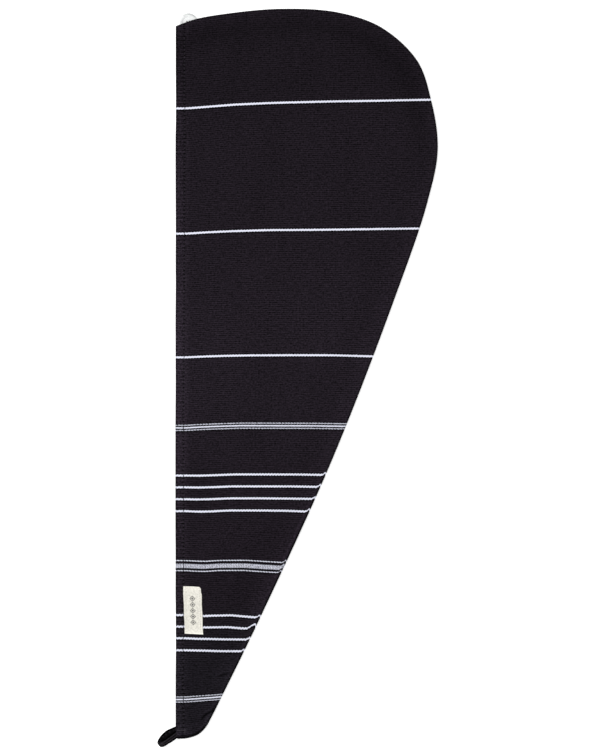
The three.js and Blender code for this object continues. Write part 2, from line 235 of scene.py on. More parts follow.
# Weft stripes: where each crosses the hem, its kind, how far it has risen at shares of the way from the
# hem to the seam, how far it curls up beside the seam, and over what reach
RISE_SHARES = (0, 0.1, 0.2, 0.35, 0.6, 0.8, 0.95, 1)
STRIPES = (
    (37.5, "triple", (0, 0.1, 0.4, 0.7, 1.3, 1.7, 2.2, 2.3), 0, 4),
    (84.4, "single", (0, -0.1, -0.2, -0.4, -1, -1.1, -1.2, -1.2), 1.9, 2.9),
    (95.9, "single", (0, -0.3, -0.6, -0.7, -1.2, -1.4, -1.5, -1.5), 1.6, 3),
    (107, "single", (0, -0.4, -0.8, -0.8, -0.6, -1.9, -2.2, -2.2), 4.2, 8),
    (118, "single", (0, -0.5, -1.1, -0.6, -0.3, -1.7, -2.6, -2.7), 2, 4),
    (165.2, "band", (0, -0.5, -0.8, 0.1, 0.2, -1.2, -2.1, -2.2), 2.2, 3.4),
    (217.1, "single", (0, -0.5, -0.3, 0.6, 0.6, 0.3, -0.4, -0.5), 2.5, 3.3),
    (228.5, "single", (0, -0.3, 0, 0.8, 0.8, 0.5, 0.2, 0.1), 1.9, 3),
    (239.8, "single", (0, -0.2, 0.1, 0.9, 0.9, 0.8, 0.4, 0.3), 2.1, 3),
    (251, "single", (0, -0.1, 0.3, 1.1, 1.1, 1, 0.6, 0.5), 2.1, 3.2),
    (296.5, "triple", (0, 0.9, 1.5, 2.2, 2.1, 2, 1.6, 1.5), 0, 4),
    (363.7, "single", (0, 0.8, 1.4, 1.9, 2.1, 2, 1.2, 1), 0, 4),
    (481.6, "single", (0, 1.4, 2.4, 3.4, 3.8, 4.4, 5, 5.1), 0, 4),
    (601, "single", (0, 1.8, 3.7, 5.3, 6.8, 7.5, 8.5, 8.7), 0, 4),
)
STRIPE_LINES = {  # each line's offset and look
    "single": ((0, "plain"),),
    "triple": ((-0.1, "centre"), (-2.55, "beaded"), (2.4, "beaded")),
    "band": ((-0.25, "broad"), (-4.8, "thin"), (4.8, "thin")),
}
LINE_LOOKS = {  # half width, strength, bead pitch, how far a bead moves the edge, how far it shades
    "plain": (0.9, 1, 2.8, 0.3, 0.2),
    "centre": (0.56, 1, 2.9, 0.12, 0.1),
    "beaded": (0.31, 1, 2.9, 0.26, 0.5),
    "broad": (1.95, 0.53, 2.3, 0.34, 0.3),
    "thin": (0.37, 1, 2.7, 0.28, 0.3),
}
RUNGS = Values(strength=0.26, low=0.6, high=1.05)  # pale yarns that bridge the triple stripe's gaps
BEADING = (305, 355, 1, 0.6)  # between these levels the stripes turn from beaded to smoother
STRIPE_EDGE = 0.2  # half the width over which a stripe fades out
SHADE_SHIFT = 0.22  # the painted shadow outline of a stripe is stronger below it
CURL_FALL = Values(reach=1.3, share=0.55)  # at the very rim a curled stripe dips again

Plan = namedtuple("Plan", "x y seam arc")  # arc is how far along the seam the nearest point of it is


# Curves

def smooth(t):
    s = np.clip(t, 0, 1)
    return s * s * (3 - 2 * s)


def between(value, low, high):
    """From 0 to 1 as a value goes from low to high."""
    return smooth((value - low) / (high - low))


def hump(value, centre, width):
    """A soft hump of height 1 about a centre."""
    return np.exp(-(((value - centre) / width) ** 2))


def travelled_along(path):
    return np.concatenate([[0], np.cumsum(np.linalg.norm(np.diff(path, axis=0), axis=1))])


def round_turn(count):
    return np.linspace(0, TURN, count, endpoint=False)


def rolled(distance, width, drop):
    """How far a round edge has dropped at a distance from its rim."""
    t = np.clip(distance / width, 0, 1)
    return drop * (1 - np.sqrt(1 - (1 - t) ** 2))


def curve_through(points, places):
    """Points on a centripetal Catmull-Rom curve, at places from 0 to 1, as the part's source draws it."""
    points = np.asarray(points, float)
    guided = np.vstack([2 * points[0] - points[1], points, 2 * points[-1] - points[-2]])
    place = np.asarray(places) * (len(points) - 1)
    start = np.minimum(place.astype(int), len(points) - 2)
    t = (place - start)[:, None]
    before, here, there, after = (guided[start + k] for k in range(4))
    d0, d1, d2 = (
        np.sqrt(np.linalg.norm(b - a, axis=1, keepdims=True))
        for a, b in ((before, here), (here, there), (there, after))
    )
    d1 = np.where(d1 < 1e-4, 1, d1)
    d0 = np.where(d0 < 1e-4, d1, d0)
    d2 = np.where(d2 < 1e-4, d1, d2)
    leave = ((here - before) / d0 - (there - before) / (d0 + d1) + (there - here) / d1) * d1
    arrive = ((there - here) / d1 - (after - here) / (d1 + d2) + (after - there) / d2) * d1
    square = -3 * here + 3 * there - 2 * leave - arrive
    cube = 2 * here - 2 * there + leave + arrive
    return here + leave * t + square * t**2 + cube * t**3


def waves(places, seed, sizes):
    """A soft seeded wave pattern of about unit height over places, an array whose last axis is the plan."""
    draw = np.random.default_rng(seed)
    total = np.zeros(places.shape[:-1])
    for _ in range(sizes.count):
        length = draw.uniform(sizes.shortest, sizes.longest)
        direction = draw.normal(size=places.shape[-1])
        direction /= np.linalg.norm(direction)
        total += np.sin(places @ direction * (TURN / length) + draw.uniform(0, TURN))
    return total * math.sqrt(2 / sizes.count)


# The plan

def section_rows():
    """The mouth y and seam point of each row of the mesh, evenly spaced."""
    fine = curve_through(SECTIONS, np.linspace(0, 1, 6001))
    steps = np.maximum(np.abs(np.diff(fine[:, 0])), np.hypot(*np.diff(fine[:, 1:], axis=0).T))
    travelled = np.concatenate([[0], np.cumsum(steps)])
    wanted = np.linspace(0, travelled[-1], round(travelled[-1] / ROW_PITCH) + 1)
    return np.column_stack([np.interp(wanted, travelled, column) for column in fine.T])


seam_line = curve_through(SECTIONS, np.linspace(0, 1, SEAM_SAMPLES + 1))[:, 1:]


def nearest_on_seam(x, y):
    """Distance to the seam line, and how far along it the nearest point is."""
    starts = seam_line[:-1]
    steps = np.diff(seam_line, axis=0)
    lengths = np.hypot(*steps.T)
    arcs = np.concatenate([[0], np.cumsum(lengths)[:-1]])
    places = np.column_stack([np.ravel(x), np.ravel(y)])
    distance = np.empty(len(places))
    arc = np.empty(len(places))
    for first in range(0, len(places), CHUNK):
        part = places[first:first + CHUNK, None] - starts[None]
        t = np.clip((part * steps).sum(-1) / lengths**2, 0, 1)
        away = np.hypot(part[..., 0] - t * steps[:, 0], part[..., 1] - t * steps[:, 1])
        best = away.argmin(axis=1)
        rows = np.arange(len(best))
        distance[first:first + CHUNK] = away[rows, best]
        arc[first:first + CHUNK] = arcs[best] + t[rows, best] * lengths[best]
    return distance.reshape(np.shape(x)), arc.reshape(np.shape(x))


def plan_at(x, y):
    return Plan(x, y, *nearest_on_seam(x, y))


def stations(side):
    """Distances from an edge of the cloth at which its mesh has points, dense where it rounds over."""
    if side == "inner":
        return np.array([0, 0.12, 0.45, 1.1, 4.5, 8.3, 9.3, 12])
    roll = RIM_ROUND * (1 - np.cos(np.linspace(0, math.pi / 2, 8)))
    groove = np.array([3.4, 4.6, 5.8, 6.8, 7.4, 7.8, 8.2, 8.6, 9, 9.6, 10.6, 12])
    return np.concatenate([roll, groove])


def plan_grid(side):
    """The plan places of a face: rows from tip to crown, points from the mouth edge to the seam."""
    rows = section_rows()
    mouth = np.column_stack([np.zeros(len(rows)), rows[:, 0]])
    seam = rows[:, 1:]
    length = np.hypot(*(seam - mouth).T)[:, None]
    edge = stations(side)[None]
    edge = edge * np.minimum(1, 0.36 * length / edge.max())
    inside = np.linspace(0, 1, INSIDE_POINTS[side] + 2)[None, 1:-1]
    first = edge[:, -1:]
    middle = first + (length - 2 * first) * inside
    across = np.hstack([edge, middle, length - edge[:, ::-1]]) / length
    places = mouth[:, None] + (seam - mouth)[:, None] * across[..., None]
    return plan_at(places[..., 0], places[..., 1])


# Heights of the cloth

def bumps(x, y, table):
    """The sum of soft oval swells or hollows."""
    height = 0
    for centre_x, centre_y, turn, length, width, rise in table:
        c = math.cos(math.radians(turn))
        s = math.sin(math.radians(turn))
        along = (x - centre_x) * c + (y - centre_y) * s
        across = (y - centre_y) * c - (x - centre_x) * s
        height = height + rise * np.exp(-((along / length) ** 2) - (across / width) ** 2)
    return height


def lift(p):
    away = np.hypot(p.x - BUTTON.x, p.y - BUTTON.y) - BUTTON.radius - BUTTON_LIFT.margin
    return (BUTTON.height + GAP) * (1 - smooth(away / BUTTON_LIFT.fall))


def wall(p):
    hem = (HEM.thickness - CLOTH) * (1 - smooth((p.x - HEM.width) / STEP_WIDTH))
    allowance = (ALLOWANCE.thickness - CLOTH) * (1 - smooth((p.seam - ALLOWANCE.width) / STEP_WIDTH))
    return CLOTH + np.maximum(hem, allowance)


def opened(p):
    return smooth((p.seam - POCKET.flat_rim) / POCKET.rise)


def front_face(p):
    """The upper panel's outer face, without its rolled edges. At the seam it lies on the lower panel."""
    closed = 2 * np.maximum(ALLOWANCE.thickness, wall(p))
    still = 2 * HEM.thickness + POCKET.height + bumps(p.x, p.y, SWELLS)
    pattern = waves(np.stack([p.x, p.y], axis=-1), SEEDS.waves, WAVES)
    loose = WAVES.height * pattern * smooth(p.x / WAVES.from_mouth)
    return lift(p) + closed + (still + loose - closed) * opened(p)


def seam_puckers(p, seed):
    near = hump(p.seam, 0, SEAM_PUCKER.reach) * smooth(p.seam / SEAM_PUCKER.rim)
    return SEAM_PUCKER.height * waves(p.arc[..., None], seed, SEAM_PUCKER) * near


def stitch_line(y):
    """How far from the mouth edge the hem is stitched."""
    return STITCH_TIP_X + sum(change * between(y, low, high) for low, high, change in STITCH_STEPS)


def hem_relief(p, seed):
    """The stitched groove of the hem, the dimple of each stitch and the puckers between them."""
    beat = 0.5 + 0.5 * np.cos(TURN * p.y / STITCH.pitch)
    depth = GROOVE.depth * (GROOVE.least + (1 - GROOVE.least) * beat)
    groove = depth * hump(p.x, stitch_line(p.y), GROOVE.width)
    dimple = FOLD_DIMPLE.depth * beat * (1 - smooth(p.x / FOLD_DIMPLE.width))
    pattern = waves(np.stack([p.x * HEM_PUCKER.drag, p.y], axis=-1), seed, HEM_PUCKER)
    on_hem = smooth(p.x / 1.5) * (1 - between(p.x, HEM_PUCKER.near, HEM_PUCKER.far))
    return HEM_PUCKER.height * pattern * on_hem - groove - dimple


def outer_roll(p):
    return np.maximum(rolled(p.seam, RIM_ROUND, SEAM_DROP), rolled(p.x, FOLD_ROUND, FOLD_ROUND))


def inner_roll(p):
    fold = rolled(p.x, FOLD_ROUND, FOLD_ROUND) * opened(p)
    groove = SEAM_GROOVE.half_height * (1 - smooth(p.seam / SEAM_GROOVE.depth))
    return np.maximum(fold, groove)


def in_valley(p):
    """From 0 to 1, where the upper panel sinks beyond the ridge of the crown's seam allowance."""
    valley = CROWN_VALLEY
    return hump(p.seam, valley.seam, valley.width) * between(p.y, valley.low_y, valley.high_y)


def crown_valley(p):
    return -CROWN_VALLEY.depth * in_valley(p) * smooth(p.x / CROWN_VALLEY.edge)


def front_outer(p):
    creases = bumps(p.x, p.y, CREASES) * smooth(p.seam / 2.5)
    puckers = seam_puckers(p, SEEDS.front_seam) + hem_relief(p, SEEDS.front_hem)
    return front_face(p) + puckers + creases + crown_valley(p) - outer_roll(p)


def front_inner(p):
    return front_face(p) + crown_valley(p) - wall(p) + inner_roll(p)


def back_outer(p):
    """The lower panel's outer face: flat on the floor, with only the hem's groove and puckers in it."""
    hem = np.maximum(0, -BACK_SHARES.hem * hem_relief(p, SEEDS.back_hem))
    seam = np.maximum(0, BACK_SHARES.seam * seam_puckers(p, SEEDS.back_seam))
    return lift(p) + np.minimum(hem + seam + outer_roll(p), SEAM_DROP)


def back_inner(p):
    return lift(p) + wall(p) - inner_roll(p)


# Threads of the cloth

def rise_of_weft(level, p):
    """How far the weft that crosses the hem at a level has risen at a place."""
    levels = [row[0] for row in STRIPES]
    shares = np.linspace(0, 1, 201)
    bell = np.exp(-(np.linspace(-2.5, 2.5, 13) ** 2) / 2)
    bell /= bell.sum()
    rising = seam_line[: seam_line[:, 1].argmax()]
    seam_x = np.interp(level, rising[:, 1], rising[:, 0])
    share = np.clip((p.x - HEM.width) / np.maximum(seam_x - HEM.width, 1), 0, 1)
    table = []
    for _, _, rises, _, _ in STRIPES:
        straight = np.interp(shares, RISE_SHARES, rises)
        padded = np.pad(straight, len(bell) // 2, mode="edge")
        table.append(np.interp(share, shares, np.convolve(padded, bell, mode="valid")))
    table = np.array(table)
    place = np.interp(level, levels, np.arange(len(levels)))
    below = np.minimum(place.astype(int), len(levels) - 2)
    part = smooth(place - below)
    low = np.take_along_axis(table, below[None], 0)[0]
    high = np.take_along_axis(table, below[None] + 1, 0)[0]
    curl = np.interp(level, levels, [row[3] for row in STRIPES])
    reach = np.interp(level, levels, [row[4] for row in STRIPES])
    upward = smooth((reach - p.seam) / (0.7 * reach))
    dip = CURL_FALL.share * smooth(1 - p.seam / CURL_FALL.reach)
    return low + (high - low) * part + curl * (upward - dip)


def weft_level(p):
    """The level at which a place's weft crosses the hem."""
    level = p.y
    for _ in range(5):
        level = p.y - rise_of_weft(level, p)
    return level


# Meshes

def new_object(name, data):
    """An object linked into the scene."""
    made = bpy.data.objects.new(name, data)
    bpy.context.scene.collection.objects.link(made)
    return made


def mesh_piece(name, values, faces, material):
    """A smooth piece. Each point's values are its place in millimetres of the cutting plan, then three that
    its material reads as threads, then the tone of a cloth, with its painted light and shade."""
    values = np.asarray(values, float)
    mesh = bpy.data.meshes.new(name)
    mesh.from_pydata(((values[:, :3] - (*MIDDLE, 0)) * MM).tolist(), [], faces)
    mesh.update()
    mesh.shade_smooth()
    kept = mesh.attributes.new("threads", "FLOAT_VECTOR", "POINT")
    kept.data.foreach_set("vector", values[:, 3:6].ravel())
    if values.shape[1] > 6:
        tone = mesh.attributes.new("tone", "FLOAT", "POINT")
        tone.data.foreach_set("value", values[:, 6])
    mesh.materials.append(material)
    return new_object(name, mesh)


def ring_faces(rings, size, outward):
    """Four-sided faces through rings of points, with a fan at each end."""
    faces = []
    for ring in range(rings - 1):
        here = ring * size
        there = here + size
        for i in range(size):
            j = (i + 1) % size
            faces.append((here + i, here + j, there + j, there + i))
    first = rings * size
    last = (rings - 1) * size
    for i in range(size):
        j = (i + 1) % size
        faces.append((first, j, i))
        faces.append((first + 1, last + i, last + j))
    if not outward:
        faces = [face[::-1] for face in faces]
    return faces


def with_caps(rings):
    """The points of rings, and after them the middle of the first ring and of the last."""
    return np.vstack([rings.reshape(-1, rings.shape[-1]), rings[0].mean(axis=0), rings[-1].mean(axis=0)])


def ring_piece(name, rings, material, outward=False):
    """A closed piece from rings of points. outward says that their faces already point out of it."""
    values = with_caps(rings)
    return mesh_piece(name, values, ring_faces(rings.shape[0], rings.shape[1], outward), material)


def eased(plan):
    """Where a place of the plan lies: the mouth edge wavers, and the tip and the crown corner bulge out."""
    outward = np.interp(plan.y, *np.transpose(MOUTH_WAVER))
    x = plan.x - outward * (1 - smooth(plan.x / BULGES.mouth_reach))
    tip = BULGES.tip * (1 - smooth(plan.y / BULGES.tip_reach)) * smooth(plan.x / 2 + 0.3)
    at_crown = smooth((plan.y - BULGES.crown_y) / BULGES.crown_reach)
    return x, plan.y - tip + np.interp(plan.x, *np.transpose(CROWN_CORNER)) * at_crown


def painted_relief_shading(p):
    """How much paler or darker the cloth is painted: light and shade of its dents and creases, painted
    shade in the crown's hollow and a painted highlight on its seam allowance.
    """
    pale = ALLOWANCE_HIGHLIGHT
    sunk = CROWN_VALLEY.tone * in_valley(p)
    below = 1 - between(p.y, pale.low_y, pale.high_y)
    allowance = pale.tone * (1 - between(p.seam, pale.near, pale.far)) * below
    tone_change = 1 + bumps(p.x, p.y, PATCHES) + sunk + allowance + bumps(p.x, p.y, CREASES)
    return np.maximum(DARKEST.patch, tone_change)


def cloth_panel(name, outer, inner, outer_is_up, material):
    """A closed skin: each ring runs out along the outer face and back along the inner one."""
    parts = []
    for face, plan in ((outer, outer_plan), (inner, inner_plan)):
        values = (*eased(plan), face(plan), plan.x, weft_level(plan), plan.seam, painted_relief_shading(plan))
        parts.append(np.stack(values, axis=-1))
    rings = np.concatenate([parts[0], parts[1][:, ::-1]], axis=1)
    return ring_piece(name, rings, material, outer_is_up)


def tube_rings(centres, radii):
    """Rings of points round a path that runs in any direction."""
    forward = np.gradient(centres, axis=0)
    forward /= np.linalg.norm(forward, axis=1, keepdims=True)
    up = np.array([0, 0, 1.0])
    if abs(forward[0, 2]) > 0.9:
        up = np.array([0, 1.0, 0])
    side = np.cross(forward, up)
    side /= np.linalg.norm(side, axis=1, keepdims=True)
    over = np.cross(side, forward)
    turns = round_turn(TUBE_SIDES)[:, None]
    circle = side[:, None] * np.cos(turns) + over[:, None] * np.sin(turns)
    return centres[:, None] + radii[:, None, None] * circle


def joined_tubes(name, paths, radius, material):
    """Many short rounded strands in one piece. Its threads hold how far along and round each point is."""
    values = []
    faces = []
    for path in paths:
        rings = tube_rings(path, radius_along(len(path), radius))
        run = travelled_along(path)
        threads = [(along, side / TUBE_SIDES, 0) for along in run for side in range(TUBE_SIDES)]
        threads += [(0, 0, 0), (run[-1], 0, 0)]
        offset = len(values)
        faces += [[offset + i for i in face] for face in ring_faces(len(rings), TUBE_SIDES, False)]
        values += np.hstack([with_caps(rings), threads]).tolist()
    return mesh_piece(name, values, faces, material)


def radius_along(count, radius):
    """Radii of a strand whose ends are rounded off."""
    t = np.linspace(-1, 1, count)
    return radius * np.sqrt(np.clip(1 - np.abs(t) ** 8, 0.05, 1))


# Materials

class Shader:
    """A material whose nodes are made by short calls. A value is a number or another node's output."""

    def __init__(self, name):
        self.material = bpy.data.materials.new(name)
        self.material.use_nodes = True
        self.tree = self.material.node_tree
        self.surface = self.tree.nodes["Principled BSDF"]

    def set(self, socket, value):
        if isinstance(value, bpy.types.NodeSocket):
            self.tree.links.new(value, socket)
        elif isinstance(value, tuple) and len(value) == 3 and socket.type == "RGBA":
            socket.default_value = (*value, 1)
        else:
            socket.default_value = value

    def node(self, kind, inputs=(), **settings):
        made = self.tree.nodes.new(kind)
        for key, value in settings.items():
            setattr(made, key, value)
        for key, value in dict(inputs).items():
            self.set(made.inputs[key], value)
        return made

    def math(self, operation, *values):
        made = self.node("ShaderNodeMath", operation=operation)
        for socket, value in zip(made.inputs, values):
            self.set(socket, value)
        return made.outputs[0]

    def joined(self, operation, values):
        """Values joined one after another by an operation. A tuple of values stands for its product."""
        result, *others = [self.product(*value) if isinstance(value, tuple) else value for value in values]
        for value in others:
            result = self.math(operation, result, value)
        return result

    def product(self, *values):
        return self.joined("MULTIPLY", values)

    def total(self, *values):
        return self.joined("ADD", values)

    def largest(self, *values):
        return self.joined("MAXIMUM", values)

    def least(self, *values):
        return self.joined("MINIMUM", values)

    def minus(self, value, other):
        return self.math("SUBTRACT", value, other)

    def scaled(self, value, factor, shift):
        return self.math("MULTIPLY_ADD", value, factor, shift)

    def absolute(self, value):
        return self.math("ABSOLUTE", value)

    def wave(self, value, length):
        """A sine wave of a value, with a length."""
        return self.math("SINE", self.product(value, TURN / length))

    def ramp(self, value, low, high, start=0, end=1):
        """value taken smoothly from low..high to start..end."""
        made = self.node(
            "ShaderNodeMapRange",
            {"Value": value, "From Min": low, "From Max": high, "To Min": start, "To Max": end},
            interpolation_type="SMOOTHSTEP",
        )
        return made.outputs["Result"]

    def bell(self, value, centre, width, height):
        """A soft hump of a value about a centre."""
        away = self.product(self.minus(value, centre), 1 / width)
        return self.product(self.math("EXPONENT", self.product(away, away, -1)), height)

    def bells(self, value, rows):
        """A soft hump for each row of centre, width and height."""
        return [self.bell(value, *row) for row in rows]

    def attribute(self, name):
        vector = self.node("ShaderNodeAttribute", attribute_name=name).outputs["Vector"]
        return self.node("ShaderNodeSeparateXYZ", {"Vector": vector}).outputs[:]

    def value_of(self, name):
        return self.node("ShaderNodeAttribute", attribute_name=name).outputs["Fac"]

    def noise(self, place, scale, detail):
        """Noise about 0, roughly from -1 to 1, at a place of three values."""
        parts = [self.total(value) for value in place]
        vector = self.node("ShaderNodeCombineXYZ", dict(zip("XYZ", parts))).outputs[0]
        inputs = {"Vector": vector, "Scale": scale, "Detail": detail, "Roughness": 0.5}
        return self.scaled(self.node("ShaderNodeTexNoise", inputs).outputs["Fac"], 4, -2)

    def mix(self, factor, a, b):
        made = self.node("ShaderNodeMix", data_type="RGBA", clamp_factor=True)
        for socket, value in zip((made.inputs[0], made.inputs[6], made.inputs[7]), (factor, a, b)):
            self.set(socket, value)
        return made.outputs[2]

    def shade(self, colour, factor):
        """A colour made lighter or darker by a factor."""
        made = self.node("ShaderNodeVectorMath", operation="SCALE")
        self.set(made.inputs[0], colour)
        self.set(made.inputs["Scale"], factor)
        return made.outputs[0]

    def bump(self, height, distance, strength):
        inputs = {"Height": height, "Distance": distance, "Strength": strength}
        return self.node("ShaderNodeBump", inputs).outputs[0]

    def finish(self, **inputs):
        for key, value in inputs.items():
            self.set(self.surface.inputs[key.replace("_", " ")], value)
        return self.material


LOZENGE = Values(pitch=5.6, half_width=2.9, reach=14)  # of the label's plain pattern
RIB_PITCH = 1.908  # of the weft ribs
WARP_PITCH = 0.8
WEAVE_DEPTH = 0.12 * MM
TWIST = 0.55  # length of thread in one turn of its plies
FLOOR = Values(half=8, drop=0.05 * MM)  # metres
LAMP = Values(place=(-2.2, 0.9, 2.6), side=2, energy=90)  # metres and watts
SKY_STRENGTH = 0.85

# Tones of the cloth by level: level, reach, how much paler or darker. The first dims the painted highlight
# on the hem's fold, the second sets the painted shade along the rolled mouth edge
FOLD_HIGHLIGHT_DIPS = ((178, 55, -0.22), (452, 30, -0.25))
HEM_EDGE_SHADE = ((655, 50, 0.6), (565, 32, 0.28), (226, 30, 0.35), (165, 60, 0.36), (108, 20, 0.2))
STRIPE_SIDES = ((481.6, 7, 0.07), (363.7, 7, 0.1), (601, 7, 0.05))

# Colours are linear reflectances
DARKEST = Values(hem=0.12, yarn=0.12, rim=0.1, loop=0.15, patch=0.2)  # shares of a colour
BLACK_COTTON = (0.0098, 0.0073, 0.0106)
TAIL_COTTON = (0.0089, 0.0076, 0.0105)  # towards the tip
WHITE_COTTON = (0.66, 0.67, 0.775)
STITCH_BLACK = (0.018, 0.0152, 0.0195)
TACK_BLACK = (0.036, 0.032, 0.039)
LOOP_COTTON = (0.0105, 0.0095, 0.0112)
LABEL_CREAM = (0.68, 0.66, 0.592)
LABEL_INK = (0.035, 0.034, 0.036)
PEARL = (0.76, 0.76, 0.77)
PEARL_GREEN = (0.72, 0.745, 0.73)

Weave = namedtuple("Weave", "rib warp streak grain cloud")


def weave_of(s, x, level):
    """The weft's ribs, the finer warp, and uneven yarn: each a value about 0."""
    def uneven(across, along, layer, detail=2):
        return s.noise(((x, 1 / across), (level, 1 / along), layer), 1, detail)

    row = s.product(level, TURN / RIB_PITCH)
    rib = s.math("SINE", s.scaled(uneven(24, 9, 0), 1.1, row))
    return Weave(rib, s.wave(x, WARP_PITCH), uneven(7, 1, 3), uneven(1.7, 1.4, 5), uneven(34, 52, 9, 3))


def from_stitches(s, x, level):
    """How far a place is from the hem's stitches, away from the mouth edge."""
    steps = (s.ramp(level, low, high, 0, change) for low, high, change in STITCH_STEPS)
    return s.minus(x, s.total(STITCH_TIP_X, *steps))


def hem_tone(s, x, level, from_line, weave):
    """How the doubled hem differs from the cloth: a painted highlight on its bulging fold and over its
    middle, painted shade in the stitch groove and along the rolled mouth edge, painted highlights on the
    ridges beside them, and stitches that pinch it.
    """
    beat = s.math("COSINE", s.product(level, TURN / STITCH.pitch))
    hole = s.ramp(beat, 0.1, 0.9)
    # Painted highlight on the bulging fold, dimmed at some levels, and painted light over the hem's middle
    tone_change = s.total(1, *s.bells(level, FOLD_HIGHLIGHT_DIPS))
    fold = s.product(s.ramp(x, 1.6, 9, 0.62, 0), s.ramp(level, 490, 570, 1, 0.64), tone_change)
    middle = s.product(s.ramp(level, 560, 440), s.ramp(level, 150, 270))
    broad = s.product(s.bell(x, 7.4, 4, 0.34), s.scaled(middle, 0.85, 0.15))
    # Painted highlights on the ridges, and painted shade in the stitch groove, darkest at the holes
    ridge = s.total(s.bell(from_line, 2.6, 1.6, 0.14), s.bell(x, 2.5, 0.7, 0.14))
    groove = s.product(s.bell(from_line, 0, 0.85, 1), s.scaled(hole, -1.45, 0.26))
    rare = s.ramp(s.noise((3, (level, 0.13), 8), 1, 1), 0.3, 0.55, 0, 2.6)
    fleck = s.product(s.bell(from_line, 0.1, 0.5, 1), s.ramp(beat, -0.4, -0.9), rare)
    # Painted shade along the rolled mouth edge, darkest beside each stitch
    edge_shade = s.product(s.total(0.44, *s.bells(level, HEM_EDGE_SHADE)), s.scaled(hole, 1.3, 0.4))
    edge = s.product(s.bell(x, 1.05, 0.75, -1), edge_shade)
    drawn = s.noise(((x, 0.95), (level, 0.32), 6), 1, 2)
    uneven = s.total((beat, -0.24), (weave.grain, 0.38), (drawn, 0.38))
    pinch = s.product(s.ramp(x, 6.5, 9.5, 1, 0), uneven)
    return s.largest(s.total(1, fold, broad, ridge, groove, fleck, edge, pinch), DARKEST.hem)


def seam_tone(s, level, seam):
    """Painted shade on the rolled rim at the seam and, at the tip, a little inside it; a painted highlight
    on the ridge of the allowance inside it.
    """
    in_tail = s.ramp(level, 244, 262, 1, 0)
    rim = s.product(s.ramp(seam, 0.9, 1.8, -0.36, 0), s.scaled(in_tail, 1.65, 1))
    below = s.product(s.ramp(seam, 1.8, 3.2, -0.85, 0), s.ramp(level, 5, 12, 1, 0))
    lit = s.bell(level, 193, 30, 0.35)
    ridge = s.bell(seam, 3.6, 1.2, s.total(s.scaled(in_tail, 0.14, 0.08), lit))
    return s.largest(s.total(1, rim, below, ridge), DARKEST.rim)


def level_tone(s, level):
    """How pale the cloth is by level: a painted fall of light, darker at the crown and in the tail and
    paler in the middle, and paler beside some stripes.
    """
    crown = s.ramp(level, 575, 625, 0.95, 0.8)
    middle = s.bell(level, 350, 110, 0.16)
    tail = s.total(s.ramp(level, 150, 190, -0.09, 0), s.ramp(level, 30, 60, -0.03, 0))
    return s.total(crown, middle, tail, s.total(*s.bells(level, STRIPE_SIDES)))


def nearest_line(s, level, centres):
    """Distance from the nearest of some levels."""
    return s.least(*(s.absolute(s.minus(level, centre)) for centre in centres))


def stripes_of(s, x, level, weave):
    """How white the cloth is, from 0 to 1, and how far a place is from the nearest stripe's edge, shifted
    for the painted shadow beside each stripe.
    """
    whites = []
    gaps = []
    shifted = s.total(level, SHADE_SHIFT)
    beading = s.ramp(level, *BEADING)
    for look, (half, strength, pitch, cut, shading) in LINE_LOOKS.items():
        lines = [(row[0] + offset, name) for row in STRIPES for offset, name in STRIPE_LINES[row[1]]]
        centres = [centre for centre, name in lines if name == look]
        away = nearest_line(s, level, centres)
        slant = s.scaled(level, 1.4, s.product(x, TURN / pitch))
        bead = s.product(s.math("SINE", slant), beading)
        ragged = s.total(away, (bead, cut), (weave.grain, 0.16))
        line = s.ramp(ragged, half - STRIPE_EDGE, half + STRIPE_EDGE, strength, 0)
        shade = s.total(1, (bead, shading), (weave.grain, 0.05))
        if look == "broad":
            shade = s.total(shade, s.ramp(away, half - 1, half - 0.3, 0, 0.16), (weave.grain, 0.62))
        line = s.product(line, shade)
        if look == "centre":
            pale = s.total(bead, (weave.grain, 0.5))
            bridge = s.ramp(pale, RUNGS.low, RUNGS.high, 0, RUNGS.strength)
            line = s.largest(line, (bridge, s.ramp(away, 1.9, 2.3, 1, 0)))
        whites.append(line)
        gaps.append(s.minus(nearest_line(s, shifted, centres), half))
    return s.largest(*whites), s.least(*gaps)


def cotton(name):
    """Flat-woven dark cotton with white weft stripes, and painted light and shade on its hem, its seam, its
    dents and creases and beside its stripes.
    """
    s = Shader(name)
    x, level, seam = s.attribute("threads")
    weave = weave_of(s, x, level)
    from_line = from_stitches(s, x, level)
    yarn = s.total(1, (weave.rib, 0.4), (weave.streak, 0.42), (weave.grain, 0.8), (weave.cloud, 0.08))
    light = s.product(
        s.largest(yarn, DARKEST.yarn), level_tone(s, level), s.value_of("tone"),
        hem_tone(s, x, level, from_line, weave), seam_tone(s, level, seam),
    )
    white, clear = stripes_of(s, x, level, weave)
    # Painted shadow: the cloth is darker just beside each stripe, more so below it
    light = s.product(light, s.ramp(clear, 0.4, 1.7, 0.06, 1))
    # The white yarn is darker along the stitch line, and painted darker as shade on the rolled mouth edge
    pinched = s.total(1, s.bell(from_line, 0.3, 0.42, -0.72))
    tone_change = s.product(s.ramp(x, 0, 1.6, 0.6, 1), pinched, s.scaled(weave.streak, 0.03, 1))
    dark = s.mix(s.ramp(level, 150, 60), BLACK_COTTON, TAIL_COTTON)
    height = s.total((weave.rib, 0.5), (weave.warp, 0.2), (weave.grain, 0.3), (weave.streak, 0.2))
    return s.finish(
        Base_Color=s.mix(white, s.shade(dark, light), s.shade(WHITE_COTTON, tone_change)),
        Roughness=0.92,
        Specular_IOR_Level=0.03,
        Sheen_Weight=0.02,
        Sheen_Roughness=0.5,
        Normal=s.bump(height, WEAVE_DEPTH, 0.8),
    )


